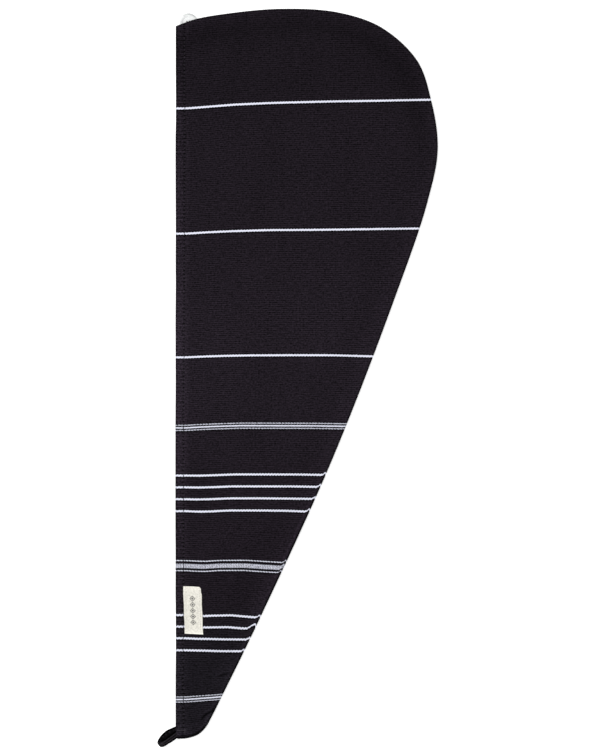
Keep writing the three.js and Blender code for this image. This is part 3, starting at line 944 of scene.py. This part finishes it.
def spun_thread(name, colour):
    s = Shader(name)
    along, turn, _ = s.attribute("threads")
    ply = s.wave(s.total((along, 1 / TWIST), turn), 1)
    fuzz = s.noise((along, turn, 0), 6, 3)
    return s.finish(
        Base_Color=s.shade(colour, s.total(1, (ply, 0.2), (fuzz, 0.15))),
        Roughness=0.75,
        Specular_IOR_Level=0.08,
        Normal=s.bump(ply, 0.05 * MM, 0.8),
    )


# The scene

def add_camera():
    data = bpy.data.cameras.new("camera")
    data.sensor_width = CAMERA.film
    data.lens = CAMERA.film * CAMERA.distance / CAMERA.seen_height
    data.clip_end = 100
    camera = new_object("camera", data)
    place = (CAMERA.x - MIDDLE[0], CAMERA.y - MIDDLE[1], CAMERA.z + CAMERA.distance)
    camera.location = [value * MM for value in place]
    bpy.context.scene.camera = camera


def add_floor_and_light():
    s = Shader("floor_white")
    floor_material = s.finish(
        Base_Color=(0.85, 0.85, 0.85),
        Roughness=0.9,
        Specular_IOR_Level=0.1,
        Emission_Color=(1, 1, 1),
        Emission_Strength=0.45,
    )
    half = FLOOR.half
    corners = [(-half, -half, 0), (half, -half, 0), (half, half, 0), (-half, half, 0)]
    mesh = bpy.data.meshes.new("floor")
    mesh.from_pydata(corners, [], [(0, 1, 2, 3)])
    mesh.materials.append(floor_material)
    floor = new_object("floor", mesh)
    floor.location.z = -FLOOR.drop

    world = bpy.data.worlds.new("studio")
    world.use_nodes = True
    sky = world.node_tree.nodes["Background"].inputs
    sky["Color"].default_value = (1, 1, 1, 1)
    sky["Strength"].default_value = SKY_STRENGTH
    bpy.context.scene.world = world

    softbox = bpy.data.lights.new("softbox", "AREA")
    softbox.shape = "RECTANGLE"
    softbox.size = LAMP.side
    softbox.size_y = LAMP.side
    softbox.energy = LAMP.energy
    light = new_object("softbox", softbox)
    light.location = LAMP.place
    light.rotation_euler = Vector(light.location).to_track_quat("Z", "Y").to_euler()
    bpy.context.scene.view_settings.view_transform = "Standard"


# Pieces

def hem_stitches(name, face, lie):
    """One short strand for each stitch, in the hem's groove. lie is 1 above the cloth and -1 under it."""
    pitch = STITCH.pitch
    count = int((STITCH.high_y - STITCH.low_y) / pitch)
    t = np.linspace(0, 1, 9)
    starts = (math.ceil(STITCH.low_y / pitch) + np.arange(count)) * pitch
    y = starts[:, None] + (pitch - STITCH.length) / 2 + t[None] * STITCH.length
    x = stitch_line(y) + STITCH_LIE.waver * np.sin(starts * 1.7)[:, None]
    arch = np.sin(math.pi * t)[None] * STITCH_LIE.arch - STITCH_LIE.sunk
    z = np.maximum(face(plan_at(x, y)) + lie * arch, STITCH.radius)
    return joined_tubes(name, np.stack([x, y, z], axis=-1), STITCH.radius, stitch_thread)


def drawn_to_ends(half, share, count):
    """Places from -half to half, closer together towards both ends by a share."""
    places = np.linspace(-1, 1, count)
    return half * (share * np.sin(places * math.pi / 2) + (1 - share) * places)


def label_piece():
    """A cream cotton tape with softly rounded edges, lying on the upper panel."""
    half_width = LABEL.width / 2
    half_length = LABEL.length / 2
    turn = math.radians(LABEL.turn)
    side, run = np.meshgrid(drawn_to_ends(half_width, 0.6, 41), drawn_to_ends(half_length, 0.35, 121))
    shape = LABEL_ENDS
    bow = shape.bow * (1 - (side / half_width) ** 2)
    top_end = smooth(run / half_length) * (bow + shape.top - shape.top_slant * side)
    foot_end = smooth(-run / half_length) * (shape.foot - shape.foot_slant * side)
    into_corner = side + run - half_width - half_length
    corner = LABEL_CORNER.depth * np.clip(into_corner / LABEL_CORNER.reach + 1, 0, 1) ** 2
    past_notch = smooth((run - half_length + LABEL_NOTCH.from_end) / LABEL_NOTCH.step)
    notch = LABEL_NOTCH.depth * past_notch * (side > half_width - LABEL_NOTCH.band)
    drawn_in = LABEL_DRAWN_IN.depth * smooth(1 - (side + half_width) / LABEL_DRAWN_IN.reach)
    near_edge = np.sign(side) * (np.abs(side) > half_width - LABEL_WAVER.band)
    waver = LABEL_WAVER.height * np.sin(run * 0.33) * near_edge
    shaped = side - corner - notch + drawn_in - waver
    x = LABEL.x + shaped * math.cos(turn) - run * math.sin(turn)
    y = LABEL.y + run - corner + top_end + foot_end
    bed = front_outer(plan_at(x, y))
    rim = np.minimum(half_width - np.abs(side), half_length - np.abs(run))
    ridge = LABEL_SEAM.height * hump(side, half_width - LABEL_SEAM.from_edge, LABEL_SEAM.width)
    inside = half_width - np.abs(side) - LABEL_FOLD.from_edge
    fold = LABEL_FOLD.height * (1 - smooth(inside / LABEL_FOLD.step))
    billow = LABEL_RELIEF.billow * np.sin(run * 0.21 + 1) * np.cos(side * 0.2)
    edge = rolled(rim, LABEL_RELIEF.round, LABEL_RELIEF.drop)
    top = bed + LABEL_RELIEF.rise + fold + ridge + billow - edge
    low = bed - LABEL_RELIEF.sunk
    over = np.stack([x, y, top, side, run, rim], axis=-1)
    under = np.stack([x, y, low, side, run, rim], axis=-1)
    rings = np.concatenate([under, over[:, ::-1]], axis=1)
    return ring_piece("label_tape", rings, label_tape_material())


def label_tape_material():
    """Cream tape with a plain chain of lozenges down its middle."""
    s = Shader("label_tape")
    side, run, _ = s.attribute("threads")
    half_width = LABEL.width / 2
    half_length = LABEL.length / 2
    warp = s.wave(side, 0.62)
    weft = s.wave(run, 0.7)
    slub = s.noise((side, (run, 0.5), 2), 1.1, 3)
    fleck = s.noise((side, run, 7), 0.95, 2)
    from_middle = s.absolute(run)
    tone_change = s.ramp(s.minus(half_length, from_middle), 2.5, 6, 0.02, -0.08)
    # Painted highlight on the folded foot
    foot = s.ramp(s.total(run, half_length), 0.9, 1.6, 0.2, 0)
    seam = s.bell(side, half_width - 2.1, 0.4, s.scaled(s.wave(run, 2.4), 0.09, -0.13))
    # Painted highlight along the fold of the right edge
    edge_highlight = s.bell(side, half_width - 1, 0.5, 0.1)
    left = s.ramp(s.total(side, half_width), 0, 1.3, -0.14, 0)
    tone = s.total(1, tone_change, foot, seam, edge_highlight, left, (warp, weft, 0.04), (slub, 0.08), (fleck, 0.18))
    along = s.math("PINGPONG", run, LOZENGE.pitch / 2)
    reach = s.scaled(along, -2 / LOZENGE.pitch, 1)
    inward = s.minus(reach, s.math("DIVIDE", s.absolute(side), LOZENGE.half_width))
    outline = s.product(s.ramp(inward, 0, 0.06), s.ramp(inward, 0.3, 0.36, 1, 0))
    core = s.ramp(inward, 0.56, 0.62)
    kept = s.ramp(from_middle, LOZENGE.reach - 0.1, LOZENGE.reach + 0.1, 1, 0)
    ink = s.product(s.largest(outline, core), kept, s.scaled(fleck, 0.12, 0.88))
    height = s.total((warp, 0.4), (weft, 0.4), (slub, 0.4))
    return s.finish(
        Base_Color=s.mix(ink, s.shade(LABEL_CREAM, tone), LABEL_INK),
        Roughness=0.85,
        Specular_IOR_Level=0.2,
        Sheen_Weight=0.05,
        Normal=s.bump(height, 0.08 * MM, 0.7),
    )


def loop_place(along, side, z):
    """A place on the loop, whose foot is cut along the mouth edge."""
    turn = math.radians(LOOP.turn)
    outward = np.array([math.cos(turn), math.sin(turn)])
    square = np.array([outward[1], -outward[0]])
    mouth = np.array([0, 1 / -outward[0]])
    part = smooth(along / LOOP.width)[..., None]
    across = mouth * (1 - part) + square * part
    plan = np.array([-GAP, LOOP.y]) + outward * along[..., None] + across * side[..., None]
    return np.concatenate([plan, z[..., None]], axis=-1)


def tape_loop():
    """The loop's tape, folded lengthways and stitched along its middle, swept along its path."""
    places = np.linspace(0, 1, LOOP_POINTS.along)
    path = curve_through([row[:3] for row in LOOP_PATH], places)
    widen = curve_through([(row[3], 0, 0) for row in LOOP_PATH], places)[:, :1]
    forward = np.gradient(path[:, [0, 2]], axis=0)
    forward /= np.linalg.norm(forward, axis=1, keepdims=True)
    run = travelled_along(path)[:, None]
    turns = round_turn(LOOP_POINTS.round)
    across = (np.sign(np.cos(turns)) * np.abs(np.cos(turns)) ** 0.6)[None]
    facing = (np.sign(np.sin(turns)) * np.abs(np.sin(turns)) ** 0.7)[None]
    half_width = LOOP.width / 2 * widen
    side = across * half_width + path[:, 1:2]
    ridges = sum(hump(side, place, LOOP_RIDGES.width) for place in LOOP_RIDGES.places)
    stitches = 0.5 + 0.5 * np.cos(run * TURN / STITCH.pitch)
    groove = hump(side, np.mean(LOOP_RIDGES.places), LOOP_GROOVE.width) * (0.5 + 0.5 * stitches)
    returning = smooth((run - run.mean()) / 5)
    relief = (LOOP_RIDGES.height * ridges - LOOP_GROOVE.depth * groove) * returning
    ripple = LOOP_RIPPLE.height * np.sin(run * 1.9) * np.cos(side)
    thick = facing * LOOP.thickness / 2 - (relief + ripple) * (facing < 0)
    wobble = LOOP_RIPPLE.edge * np.sin(run * 1.1 + 0.5) * across
    at_end = hump(run, LOOP_BEND, LOOP_ROUNDING.reach)
    rounding = LOOP_ROUNDING.depth * np.abs(across) ** 3 * at_end
    along = path[:, :1] - thick * forward[:, 1:] - rounding
    points = loop_place(along, side + wobble, path[:, 2:] + thick * forward[:, :1])
    from_edge = (1 - np.abs(across)) * half_width
    threads = np.stack([run + 0 * side, side, from_edge], axis=-1)
    return ring_piece("loop_tape", np.concatenate([points, threads], axis=-1), loop_material())


def loop_material():
    """Dark cotton strip. Its lower leg is painted darker, as shade under the upper one, whose middle line
    is darker between two pale lines. Its rounded edges are painted darker, and its end is painted paler,
    with painted shade where it turns over.
    """
    s = Shader("loop_cotton")
    run, side, from_edge = s.attribute("threads")
    returning = s.ramp(run, LOOP_BEND - 1, LOOP_BEND + 4)
    grain = s.noise((run, (side, 1.4), 1), 0.9, 3)
    fine = s.noise((run, side, 4), 2.4, 2)
    wales = s.wave(side, 0.9)
    stitches = s.wave(run, STITCH.pitch)
    lines = s.total(*(s.bell(side, place, 0.55, 1.5) for place in LOOP_RIDGES.places))
    middle = s.bell(side, sum(LOOP_RIDGES.places) / 2, 0.6, s.scaled(stitches, -0.25, -0.7))
    upper = s.total(0.85, (lines, s.scaled(stitches, 0.3, 0.95)), middle)
    shaded_lower_leg = s.total(0.34, (s.bell(side, 3.9, 0.9, 1), s.ramp(stitches, 0, 0.9, 0, 1.3)))
    # Painted light on the loop's end, and painted shade where the tape turns over
    from_bend = s.absolute(s.minus(run, LOOP_BEND + 2))
    bend = s.ramp(from_bend, 3.5, 7, 1.05, 0)
    leg = s.total((upper, returning), (shaded_lower_leg, s.minus(1, returning)))
    # Painted shade along the tape's rounded edges, weaker about its end
    outline = s.largest(s.ramp(from_edge, 1.3, 2, 0.02, 1), s.ramp(from_bend, 1, 4, 0.3, 0))
    end = s.total(1, s.bell(run, LOOP_BEND, 1.6, -0.75))
    uneven = s.total(1, (grain, 0.4), (fine, 0.4), (wales, 0.12))
    light = s.product(s.largest(leg, bend), outline, end, s.largest(uneven, DARKEST.loop))
    height = s.total((wales, 0.35), (grain, 0.4), (fine, 0.2))
    return s.finish(
        Base_Color=s.shade(LOOP_COTTON, light),
        Roughness=0.92,
        Specular_IOR_Level=0.01,
        Sheen_Weight=0.005,
        Sheen_Roughness=0.5,
        Normal=s.bump(height, WEAVE_DEPTH, 0.8),
    )


def bar_tacks():
    """Close zigzag stitches over the ends of the loop's tape."""
    draw = np.random.default_rng(SEEDS.tacks)
    paths = []
    t = np.linspace(0, 1, 9)[:, None]
    for from_x, from_y, to_x, to_y, half in BAR_TACKS:
        start = np.array([from_x, from_y])
        length = math.hypot(to_x - from_x, to_y - from_y)
        forward = (np.array([to_x, to_y]) - start) / length
        across = np.array([-forward[1], forward[0]])
        for step in range(int(length / TACK_PITCH)):
            way = (1 if step % 2 else -1) * half * draw.uniform(0.75, 1.1)
            place = start + forward * (step + t) * TACK_PITCH + across * way * (2 * t - 1)
            bed = front_outer(plan_at(place[:, 0], place[:, 1]))
            z = bed + 0.2 * np.sqrt(np.sin(math.pi * t[:, 0])) - 0.14
            paths.append(np.column_stack([place, z]))
    return joined_tubes("bar_tacks", paths, TACK_RADIUS, tack_thread)


def sewing_holes():
    """The button's four holes about its middle, turned as it came to be sewn."""
    away = SEWING.pitch / math.sqrt(2)
    turns = [math.radians(SEWING.turn + 90 * quarter) for quarter in range(4)]
    return np.array([(away * math.cos(turn), away * math.sin(turn)) for turn in turns])


def button_face(radius, places, side):
    """Height of a face of the button: a round rim, a dish and four holes. side is 1 above and -1 below."""
    middle = BUTTON.height / 2
    sunk = SHELL.dish * BUTTON.dish
    out = BUTTON.radius - radius
    corner = rolled(out, BUTTON_CORNER, middle * SHELL.rim)
    dish = sunk * smooth((out - BUTTON.rim + 0.2) / 2.4)
    holes = sum(1 - smooth((away - SEWING.hole_radius + 0.15) / 0.3) for away in places)
    half = middle - corner - dish - (middle - sunk - SHELL.web) * np.clip(holes, 0, 1)
    return middle + side * half


def pearl_button():
    """A shell button, finely meshed where its holes are."""
    rim = BUTTON.radius - BUTTON_CORNER * (1 - np.sin(np.linspace(0, math.pi / 2, 16)))
    holed = (np.linspace(0.12, 1, 5), np.arange(1.12, 3.8, 0.13))
    plain = (np.linspace(4, 6, 8), np.linspace(6, 7.8, 8))
    rings_at = np.unique(np.concatenate([*holed, *plain, rim]).round(4))
    radius, turn = np.meshgrid(rings_at, round_turn(BUTTON_SIDES), indexing="ij")
    x = radius * np.cos(turn)
    y = radius * np.sin(turn)
    holes = [np.hypot(x - hole_x, y - hole_y) for hole_x, hole_y in sewing_holes()]
    top, low = (np.stack([x, y, button_face(radius, holes, side)], axis=-1) for side in (1, -1))
    shell = np.concatenate([low[:-1], top[::-1]])
    scale = BUTTON_FIT.scale
    placed = shell * (scale, scale, 1) + (BUTTON.x + BUTTON_FIT.x, BUTTON.y, 0)
    return ring_piece("pearl_button", np.concatenate([placed, shell], axis=-1), pearl_material(), True)


def pearl_material():
    """Shell with faint curved bands, with painted shade on its rounded rim, most on its upper side, and on
    the slope of its dish.
    """
    s = Shader("pearl_shell")
    from_x, from_y, z = s.attribute("threads")
    radius = s.math("SQRT", s.total((from_x, from_x), (from_y, from_y)))
    cloud = s.noise((from_x, from_y, z), 0.28, 3)
    flow = s.total((from_x, 0.8), (from_y, 1.5), (cloud, 2.2))
    bands = s.math("SINE", s.product(flow, 1.9))
    fine = s.math("SINE", s.product(flow, 6.1))
    # Painted shade on the rounded rim, strongest at the top, and on the slope into the dish
    upward = s.total((from_x, 0.2), (from_y, 0.98))
    at_top = s.ramp(s.math("DIVIDE", upward, s.largest(radius, 1)), 0.55, 0.98)
    outer = s.bell(radius, BUTTON.radius - 0.6, 1.2, s.scaled(at_top, -0.38, -0.1))
    inner = s.bell(radius, 5.7, 0.8, s.scaled(at_top, 0.08, -0.1))
    speckle = s.noise((s.total(from_x, from_y), (from_y, 0.5), 3), 0.55, 3)
    tone = s.total(1.03, outer, inner, (bands, 0.06), (fine, 0.03), (cloud, 0.04), (speckle, 0.07))
    tint = s.mix(s.ramp(bands, -1, 1), PEARL, PEARL_GREEN)
    return s.finish(
        Base_Color=s.shade(tint, tone),
        Roughness=0.4,
        Specular_IOR_Level=0.3,
        Coat_Weight=0.08,
        Coat_Roughness=0.15,
        Normal=s.bump(s.total(bands, (fine, 0.4)), 0.02 * MM, 0.5),
    )


def button_sewing():
    """Strands through the button's holes: two bars under it, crossing strands and a wound shank above."""
    draw = np.random.default_rng(SEEDS.sewing)
    low = BUTTON.dish - THREAD_BAR / 2
    high = BUTTON.height - BUTTON.dish + GAP
    holes = sewing_holes()
    paths = []
    for pair in (holes[:2], holes[2:]):
        for _ in range(SEWN_TURNS):
            left, right = pair + draw.uniform(-0.25, 0.25, size=(2, 2))
            bar = draw.uniform(-0.1, 0.1)
            places = (
                (0.3 * left, high), (left, high - 0.1), (left, high - 0.5), (left, low + 0.5),
                (0.9 * left + 0.1 * right, low + bar), (0.5 * left + 0.5 * right, low + bar - 0.05),
                (0.1 * left + 0.9 * right, low + bar), (right, low + 0.5), (right, high - 0.5),
                (right, high - 0.1), (0.3 * right, high),
            )
            key = [(*plan, z) for plan, z in places]
            paths.append(curve_through(key, np.linspace(0, 1, 61)))
    turn = np.linspace(0, TURN * 3, 73)
    rise = np.linspace(high - 0.1, BUTTON.height + 0.1, 73)
    paths.append(np.stack([0.9 * np.cos(turn), 0.9 * np.sin(turn), rise], axis=-1))
    centre = np.array([BUTTON.x + BUTTON_FIT.x, BUTTON.y, 0])
    return joined_tubes("button_sewing", [path + centre for path in paths], SEWN_RADIUS, button_thread)


add_camera()
add_floor_and_light()

stitch_thread = spun_thread("stitch_thread", STITCH_BLACK)
tack_thread = spun_thread("tack_thread", TACK_BLACK)
button_thread = spun_thread("button_thread", STITCH_BLACK)
panel_cotton = cotton("panel_cotton")

outer_plan = plan_grid("outer")
inner_plan = plan_grid("inner")
front = cloth_panel("front_cloth", front_outer, front_inner, True, panel_cotton)
back = cloth_panel("back_cloth", back_outer, back_inner, False, panel_cotton)
front_stitches = hem_stitches("front_hem_stitches", front_outer, 1)
back_stitches = hem_stitches("back_hem_stitches", back_outer, -1)
label = label_piece()
loop = tape_loop()
tacks = bar_tacks()
button = pearl_button()
sewing = button_sewing()

for piece, node, slot in (
    (front, "front_panel", "cotton_cloth"),
    (back, "back_panel", "cotton_cloth"),
    (label, "label", "label_tape"),
    (loop, "button_loop", "loop_tape"),
    (button, "button", "pearl_button"),
    (sewing, "button_thread", "sewing_thread"),
):
    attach(piece, "root")
    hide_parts(node)
for piece in (front_stitches, back_stitches, tacks):
    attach(piece, "root")
